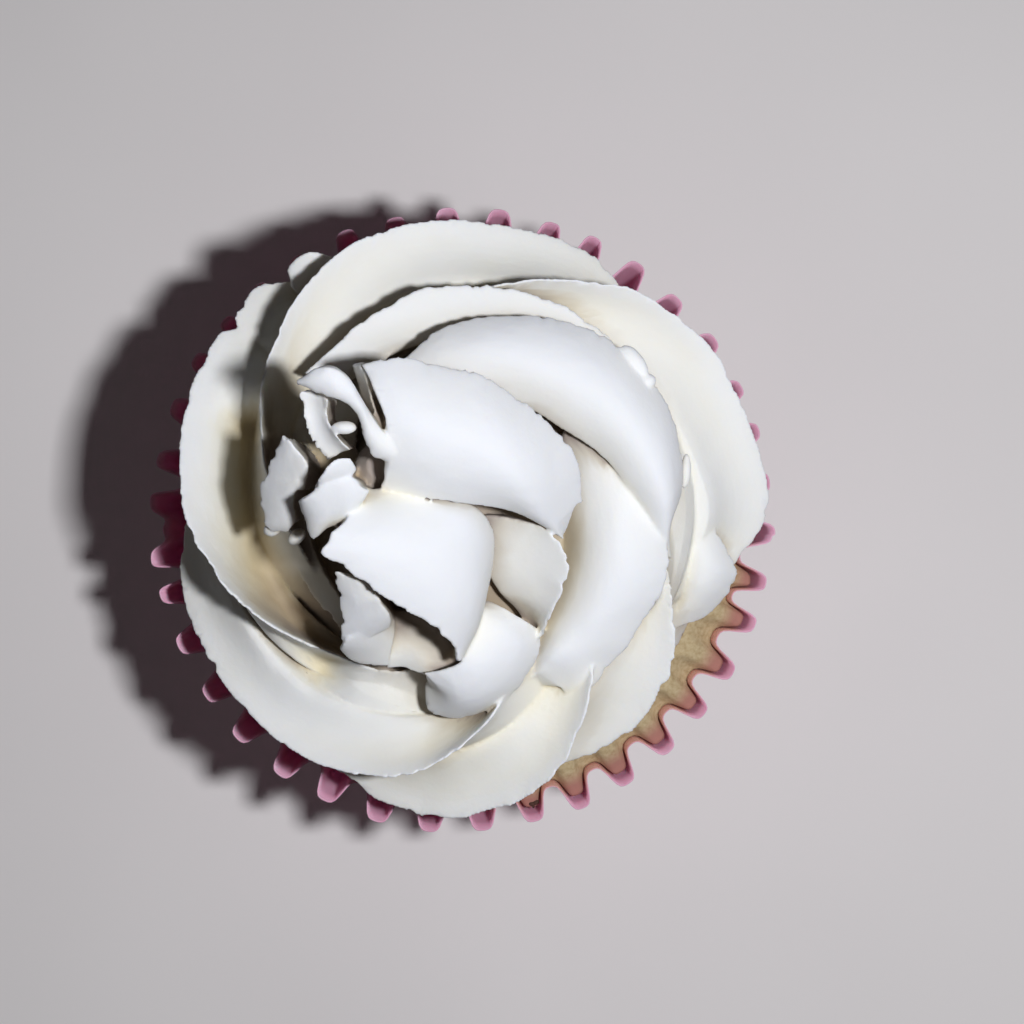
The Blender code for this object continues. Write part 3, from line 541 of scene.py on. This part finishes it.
def build_frosting(material):
    parts = [hill(), rope_core(ROPE_PATH)]
    parts += [rope_fin(fin) for fin in range(len(ROPE_FINS))]
    parts += [petal(20 + index, **shape) for index, shape in enumerate(PETALS.values())]
    parts += [leaf(40 + index, **shape) for index, shape in enumerate(LEAVES.values())]
    parts += [lump(*row) for row in LUMPS]
    rough = make_piece("frosting_union", *join(parts), material)
    union = rough.modifiers.new("union", "REMESH")
    union.mode = "VOXEL"
    union.voxel_size = VOXEL * MM
    relax = rough.modifiers.new("relax", "SMOOTH")
    relax.factor = 0.5
    relax.iterations = 2
    thin = rough.modifiers.new("thin", "DECIMATE")
    faces = len(evaluated_mesh(rough).polygons)
    thin.ratio = min(1.0, FROSTING_TRIANGLES / (2 * faces))
    mesh = evaluated_mesh(rough)
    bpy.data.objects.remove(rough)
    finish_frosting(mesh)
    mesh.name = "buttercream_swirl"
    obj = bpy.data.objects.new("buttercream_swirl", mesh)
    bpy.context.scene.collection.objects.link(obj)
    return obj


def sink_grooves(points):
    """Lower the cream along the grooves."""
    for line, depth, width, ceiling in GROOVES:
        path = through_points(line, 40)
        away = np.full(len(points), 1e9)
        for x, y, _ in path:
            away = np.minimum(away, np.hypot(points[:, 0] - x, points[:, 1] - y))
        below = np.clip((ceiling - points[:, 2]) / 5.0, 0, 1)
        points[:, 2] -= depth * np.exp(-(away / width) ** 2) * below


def openness(mesh, points, normals):
    """How much of the sky each point sees past the cream around it, 0 to 1."""
    mesh.calc_loop_triangles()
    tree = BVHTree.FromPolygons(points.tolist(), [tuple(face.vertices) for face in mesh.loop_triangles])
    count = SKY_RAYS
    turn = np.arange(count) * math.pi * (3 - math.sqrt(5))
    out = np.sqrt((np.arange(count) + 0.5) / count)
    rays = np.stack([out * np.cos(turn), out * np.sin(turn), np.sqrt(1 - out ** 2)], 1)
    rays = [Vector(ray) for ray in rays]
    seen = np.zeros(len(points))
    for index, start in enumerate((points + normals * 0.15).tolist()):
        start = Vector(start)
        for ray in rays:
            if tree.ray_cast(start, ray, SKY_REACH)[0] is None:
                seen[index] += 1
    return seen / count


def finish_frosting(mesh):
    """Surface relief, and two attributes that the material reads to paint light and shade into the colour:
    the hollow value, bluish and a little darker on the lips and yellower and darker deep in the hollows, and
    the sky shade, darker where the cream sees little sky.
    """
    count = len(mesh.vertices)
    flat = np.empty(count * 3)
    mesh.vertices.foreach_get("co", flat)
    points = flat.reshape(-1, 3) / MM
    sink_grooves(points)
    mesh.vertices.foreach_set("co", (points * MM).ravel())
    mesh.update()
    mesh.vertices.foreach_get("normal", flat)
    normals = flat.reshape(-1, 3).copy()
    edges = np.empty(len(mesh.edges) * 2, int)
    mesh.edges.foreach_get("vertices", edges)
    edges = edges.reshape(-1, 2)
    sunk = ((smoothed(points, edges, 60) - points) * normals).sum(1)
    valley = ((smoothed(points, edges, 300) - points) * normals).sum(1)
    lip = np.clip(-sunk / 0.9, 0, 1)
    relief = 0.05 * noise_at(points, 2.4, 1) + lip * 0.10 * noise_at(points, 0.8, 2)
    points = points + normals * relief[:, None]
    mesh.vertices.foreach_set("co", (points * MM).ravel())
    mesh.update()
    # Painted light and shade: by this value the colour is bluish and a little darker on the lips, which roll
    # away from the lamp, and yellower and darker deep in the hollows, for the warm bounce light and shade
    # there.
    painted_hollow_shade = np.clip(0.4 + valley / 4.0, 0, 1)
    mesh.attributes.new("painted_hollow_shade", "FLOAT", "POINT").data.foreach_set("value", painted_hollow_shade)
    # Painted shade: the less sky a point sees, in grooves and under overhangs, the darker the material paints
    # it.
    painted_sky_shade = 1 - openness(mesh, points, normals)
    painted_sky_shade = smoothed(painted_sky_shade[:, None], edges, 6)[:, 0]
    mesh.attributes.new("painted_sky_shade", "FLOAT", "POINT").data.foreach_set("value", painted_sky_shade)
    mesh.polygons.foreach_set("use_smooth", [True] * len(mesh.polygons))


# ---- paper case ----------------------------------------------------------------------------------

def flute_ring(share, steps, inset=0.0, fill=1.0):
    """One turn of the pleated wall at a share of its height, moved in square to itself by the inset."""
    crest = BASE_RADIUS + (RIM_RADIUS - BASE_RADIUS) * share
    depth = (FOOT_DEPTH + (FLUTE_DEPTH - FOOT_DEPTH) * share) * fill
    flute = np.arange(FLUTES * steps) / steps
    shifts = np.array(FLUTE_SHIFTS)
    here = np.floor(flute).astype(int)
    part = flute - here
    shift = shifts[here] * (1 - part) + shifts[(here + 1) % FLUTES] * part
    wave = np.cos(2 * math.pi * flute)
    round_crest = 0.5 + 0.5 * np.tanh(CREST_SQUARENESS * wave + 0.1) / math.tanh(CREST_SQUARENESS)
    merged = np.exp(-((flute - MERGED_FLUTE) / MERGED_SPREAD) ** 2)
    round_crest = round_crest + MERGED_FILL * merged * (1 - round_crest)
    angle = np.radians(flute * 360.0 / FLUTES + FLUTE_TURN + shift * share)
    out_of_round = SQUASH * np.cos(angle - math.radians(SQUASH_TURN)) + 0.25 * wander(flute + 5.0, 3, 1.0)
    radius = crest - depth * (1 - round_crest) + out_of_round * share
    ring = np.stack([radius * np.cos(angle), radius * np.sin(angle)], 1)
    if inset:
        edge = unit(np.roll(ring, -1, axis=0) - ring)
        outward = np.stack([edge[:, 1], -edge[:, 0]], 1)
        ring = ring - unit(outward + np.roll(outward, 1, axis=0)) * inset
    return ring


def shown_share(points):
    """1 where the cake shows beside the swirl, 0 where the swirl covers it."""
    angle = np.degrees(np.arctan2(points[:, 1], points[:, 0]))
    away = np.abs((angle - SHOWN_MIDDLE + 180) % 360 - 180)
    return 1 / (1 + np.exp((away - SHOWN_HALF) / SHOWN_FADE))


def case_height(ring, share):
    """Height of the wall, with a slightly uneven rim."""
    angle = np.arctan2(ring[:, 1], ring[:, 0])
    uneven = 0.22 * wander((angle + math.pi) / (2 * math.pi) * FLUTES, 9, 1.0)
    return CASE_HEIGHT * share - (0.25 - uneven) * share ** 3


def build_case(material):
    steps = 20
    rings = []
    shares = np.linspace(0, 1, 16)
    for share in shares:
        ring = flute_ring(share, steps)
        rings.append(np.column_stack([ring, case_height(ring, share)]))
    for share in shares[::-1]:
        share = max(share, PAPER / CASE_HEIGHT)
        ring = flute_ring(share, steps, inset=PAPER)
        rings.append(np.column_stack([ring, case_height(ring, share)]))
    case = make_piece("pleated_case", *loft(rings), material)
    points = np.concatenate(rings)
    within = np.clip((RIM_RADIUS - 1.2 - np.hypot(points[:, 0], points[:, 1])) / 0.7, 0, 1)
    inner = np.arange(len(points)) >= len(points) // 2
    soaked = within * inner * shown_share(points)
    case.data.attributes.new("soaked", "FLOAT", "POINT").data.foreach_set("value", soaked)
    return case


# ---- sponge --------------------------------------------------------------------------------------

def dome_height(radius):
    share = np.clip(radius / (RIM_RADIUS - FLUTE_DEPTH), 0, 1)
    rise = SPONGE_TOP - CASE_HEIGHT
    return CASE_HEIGHT + rise * (1 - share ** 2)


def pleat_crumbs():
    """Small flat lumps, strewn over a patch in each pleat."""
    draw = random.Random(5)
    crumbs = []
    for turn, radius, count in CRUMB_PLEATS:
        middle_x = radius * math.cos(math.radians(turn))
        middle_y = radius * math.sin(math.radians(turn))
        for _ in range(count):
            x = middle_x + draw.uniform(-CRUMB_SPREAD[0], CRUMB_SPREAD[0])
            y = middle_y - draw.uniform(-CRUMB_SPREAD[1], CRUMB_SPREAD[1])
            size = draw.uniform(*CRUMB_SIZE)
            crumbs.append(lump(x, y, CRUMB_HEIGHT, size, 0.7 * size, 0.6 * size, draw.uniform(0, 180)))
    return crumbs


def build_sponge(material):
    """A dense top that shows beside the swirl, and plain sides behind the paper."""
    steps = 16
    rings = []
    shown = 0.8 * shown_share(flute_ring(1.0, steps))[:, None]

    def wall(share):
        inside = flute_ring(share, steps, inset=PAPER + 0.1)
        valley = BASE_RADIUS + (RIM_RADIUS - BASE_RADIUS) * share - FLUTE_DEPTH * share - 0.6
        return inside * shown + unit(inside) * valley * (1 - shown)

    for share in np.linspace(0.02, 0.86, 6):
        ring = wall(share)
        rings.append(np.column_stack([ring, np.full(len(ring), CASE_HEIGHT * share)]))
    edge = wall(0.96)
    edge_height = CASE_HEIGHT * (0.88 + 0.07 * shown[:, 0])
    inner = unit(edge) * 22.0
    for pull in np.linspace(0, 1, 40):
        ring = edge * (1 - pull) + inner * pull
        radius = np.linalg.norm(ring, axis=1)
        height = dome_height(radius)
        drop = np.clip(1 - pull / 0.35, 0, 1) ** 1.5
        rings.append(np.column_stack([ring, height * (1 - drop) + edge_height * drop]))
    for radius in (16.0, 8.0, 1.0):
        ring = unit(edge) * radius
        rings.append(np.column_stack([ring, np.full(len(ring), dome_height(radius))]))
    points, faces = loft(rings)
    top = points[:, 2] > CASE_HEIGHT * 0.87
    show = points[top]
    pits = np.clip(noise_at(show, 0.9, 4) + 0.3 * noise_at(show, 0.4, 5), -1, 0.4)
    show[:, 2] += 0.03 * pits + 0.12 * noise_at(show, 5.0, 6)
    points[top] = show
    whole = len(points)
    points, faces = join([(points, faces)] + pleat_crumbs())
    cake = make_piece("sponge_cake", points, faces, material)
    baked = (np.arange(len(points)) >= whole).astype(float)
    cake.data.attributes.new("baked", "FLOAT", "POINT").data.foreach_set("value", baked)
    stained = np.clip((np.hypot(points[:, 0], points[:, 1]) - PLEAT_FOOT) / 1.6, 0, 1)
    cake.data.attributes.new("stained", "FLOAT", "POINT").data.foreach_set("value", stained)
    return cake


# ---- materials -----------------------------------------------------------------------------------

def new_material(name):
    material = bpy.data.materials.new(name)
    material.use_nodes = True
    nodes = material.node_tree.nodes
    return material, nodes, material.node_tree.links, nodes["Principled BSDF"]


def ramp(nodes, stops):
    node = nodes.new("ShaderNodeValToRGB")
    elements = node.color_ramp.elements
    for index, (place, color) in enumerate(stops):
        element = elements[index] if index < 2 else elements.new(place)
        element.position = place
        element.color = (*color, 1.0)
    return node


def noise_node(nodes, links, cell, detail=2.0):
    """Noise with a cell size in millimetres, in the object's own space."""
    place = nodes.new("ShaderNodeTexCoord")
    node = nodes.new("ShaderNodeTexNoise")
    node.inputs["Scale"].default_value = 1 / (cell * MM)
    node.inputs["Detail"].default_value = detail
    links.new(place.outputs["Object"], node.inputs["Vector"])
    return node


def bump(nodes, links, height, shader, strength, distance):
    node = nodes.new("ShaderNodeBump")
    node.inputs["Strength"].default_value = strength
    node.inputs["Distance"].default_value = distance * MM
    links.new(height, node.inputs["Height"])
    links.new(node.outputs["Normal"], shader.inputs["Normal"])


def attribute_value(nodes, name):
    node = nodes.new("ShaderNodeAttribute")
    node.attribute_name = name
    return node.outputs["Fac"]


def stained(nodes, links, attribute, base, color):
    """The base colour, going over to another one where the attribute is 1."""
    node = nodes.new("ShaderNodeMix")
    node.data_type = "RGBA"
    node.inputs["B"].default_value = (*color, 1.0)
    links.new(attribute_value(nodes, attribute), node.inputs["Factor"])
    links.new(base, node.inputs["A"])
    return node.outputs["Result"]


def buttercream():
    material, nodes, links, shader = new_material("buttercream")
    # Painted light and shade from the hollow value: bluish and a little darker on the lips, yellower and
    # darker deep in the hollows.
    tint = ramp(nodes, [(0.0, (0.80, 0.815, 0.86)), (0.40, (0.845, 0.85, 0.85)), (0.60, (0.845, 0.83, 0.765)),
                        (0.95, (0.83, 0.77, 0.60))])
    links.new(attribute_value(nodes, "painted_hollow_shade"), tint.inputs["Fac"])
    # Painted shade: the colour darkens to brown where the cream sees little sky, in grooves and under
    # overhangs.
    shade = ramp(nodes, [(0.15, (1.0, 1.0, 1.0)), (0.38, (0.97, 0.955, 0.91)), (0.56, (0.76, 0.70, 0.60)),
                         (0.74, (0.46, 0.39, 0.34))])
    links.new(attribute_value(nodes, "painted_sky_shade"), shade.inputs["Fac"])
    both = nodes.new("ShaderNodeMix")
    both.data_type = "RGBA"
    both.blend_type = "MULTIPLY"
    both.inputs["Factor"].default_value = 1.0
    links.new(tint.outputs["Color"], both.inputs["A"])
    links.new(shade.outputs["Color"], both.inputs["B"])
    links.new(both.outputs["Result"], shader.inputs["Base Color"])
    shader.inputs["Roughness"].default_value = 0.6
    shader.inputs["Specular IOR Level"].default_value = 0.2
    shader.inputs["Subsurface Weight"].default_value = 0.2
    shader.inputs["Subsurface Radius"].default_value = (1.0, 0.8, 0.55)
    shader.inputs["Subsurface Scale"].default_value = 0.5 * MM
    grain = noise_node(nodes, links, 0.5, 3.0)
    bump(nodes, links, grain.outputs["Fac"], shader, 0.35, 0.06)
    return material


def greaseproof_paper():
    material, nodes, links, shader = new_material("greaseproof_paper")
    blotch = noise_node(nodes, links, 6.0, 3.0)
    # The dusty pink is partly the paper's own brownish tint and partly painted pink light, as from a pink
    # table showing through the thin paper. The blotches are an uneven tone.
    tint = ramp(nodes, [(0.3, (0.66, 0.33, 0.46)), (0.7, (0.76, 0.42, 0.56))])
    links.new(blotch.outputs["Fac"], tint.inputs["Fac"])
    color = stained(nodes, links, "soaked", tint.outputs["Color"], (0.55, 0.29, 0.24))
    links.new(color, shader.inputs["Base Color"])
    shader.inputs["Roughness"].default_value = 0.5
    shader.inputs["Subsurface Weight"].default_value = 0.6
    shader.inputs["Subsurface Radius"].default_value = (1.0, 0.6, 0.7)
    shader.inputs["Subsurface Scale"].default_value = 0.5 * MM
    fibre = noise_node(nodes, links, 0.35, 4.0)
    bump(nodes, links, fibre.outputs["Fac"], shader, 0.3, 0.04)
    return material


def sponge_crumb():
    material, nodes, links, shader = new_material("sponge_crumb")
    pores = noise_node(nodes, links, 0.45, 4.0)
    tint = ramp(nodes, [(0.3, (0.38, 0.28, 0.15)), (0.48, (0.46, 0.36, 0.21)), (0.7, (0.52, 0.42, 0.26))])
    links.new(pores.outputs["Fac"], tint.inputs["Fac"])
    color = stained(nodes, links, "stained", tint.outputs["Color"], (0.34, 0.165, 0.13))
    color = stained(nodes, links, "baked", color, (0.05, 0.02, 0.012))
    links.new(color, shader.inputs["Base Color"])
    shader.inputs["Roughness"].default_value = 0.85
    bump(nodes, links, pores.outputs["Fac"], shader, 0.5, 0.08)
    return material


def pale_floor():
    material, nodes, links, shader = new_material("pale_floor")
    mottle = noise_node(nodes, links, 60.0, 2.0)
    tint = ramp(nodes, [(0.3, (0.74, 0.71, 0.715)), (0.7, (0.78, 0.75, 0.755))])
    links.new(mottle.outputs["Fac"], tint.inputs["Fac"])
    links.new(tint.outputs["Color"], shader.inputs["Base Color"])
    shader.inputs["Roughness"].default_value = 0.8
    return material


# ---- stage ---------------------------------------------------------------------------------------

def build_floor():
    half = 1500.0
    points = [(-half, -half, 0), (half, -half, 0), (half, half, 0), (-half, half, 0)]
    floor = make_piece("floor", points, [[0, 1, 2, 3]], pale_floor(), smooth=False)


def aim(obj, target):
    obj.rotation_euler = (Vector(target) - obj.location).to_track_quat("-Z", "Y").to_euler()


def area_light(name, place, size, power, color):
    light = bpy.data.lights.new(name, "AREA")
    light.shape = "RECTANGLE"
    light.size, light.size_y = size
    light.energy = power
    light.color = color
    obj = bpy.data.objects.new(name, light)
    bpy.context.scene.collection.objects.link(obj)
    obj.location = place
    aim(obj, (0.0, 0.0, 0.04))


def build_lights():
    area_light("key", (0.074, -0.002, 0.32), (0.018, 0.024), 0.77, (0.975, 0.985, 1.0))
    area_light("fill", (-0.1, -0.25, 0.6), (0.5, 0.5), 0.06, (1.0, 0.97, 0.95))
    world = bpy.data.worlds.new("studio")
    bpy.context.scene.world = world
    world.use_nodes = True
    background = world.node_tree.nodes["Background"]
    background.inputs["Color"].default_value = (1.0, 0.99, 0.98, 1.0)
    background.inputs["Strength"].default_value = 0.02


CAMERA_HEIGHT = 0.375                # above the rim of the case
VIEW_WIDTH = 0.1147                  # width of the view at the rim
CAMERA_XY = (0.0056, 0.0006)


def build_camera():
    camera = bpy.data.cameras.new("camera")
    camera.sensor_width = 36.0
    camera.lens = camera.sensor_width * CAMERA_HEIGHT / VIEW_WIDTH
    obj = bpy.data.objects.new("camera", camera)
    bpy.context.scene.collection.objects.link(obj)
    obj.location = (*CAMERA_XY, CASE_HEIGHT * MM + CAMERA_HEIGHT)
    bpy.context.scene.camera = obj


def place(piece, node, slot):
    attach(piece, "root")
    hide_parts(node)


def build():
    bpy.context.scene.view_settings.view_transform = "Standard"
    build_camera()
    build_floor()
    build_lights()
    place(build_case(greaseproof_paper()), "paper_case", "paper")
    place(build_sponge(sponge_crumb()), "sponge", "sponge")
    place(build_frosting(buttercream()), "frosting", "buttercream")


build()
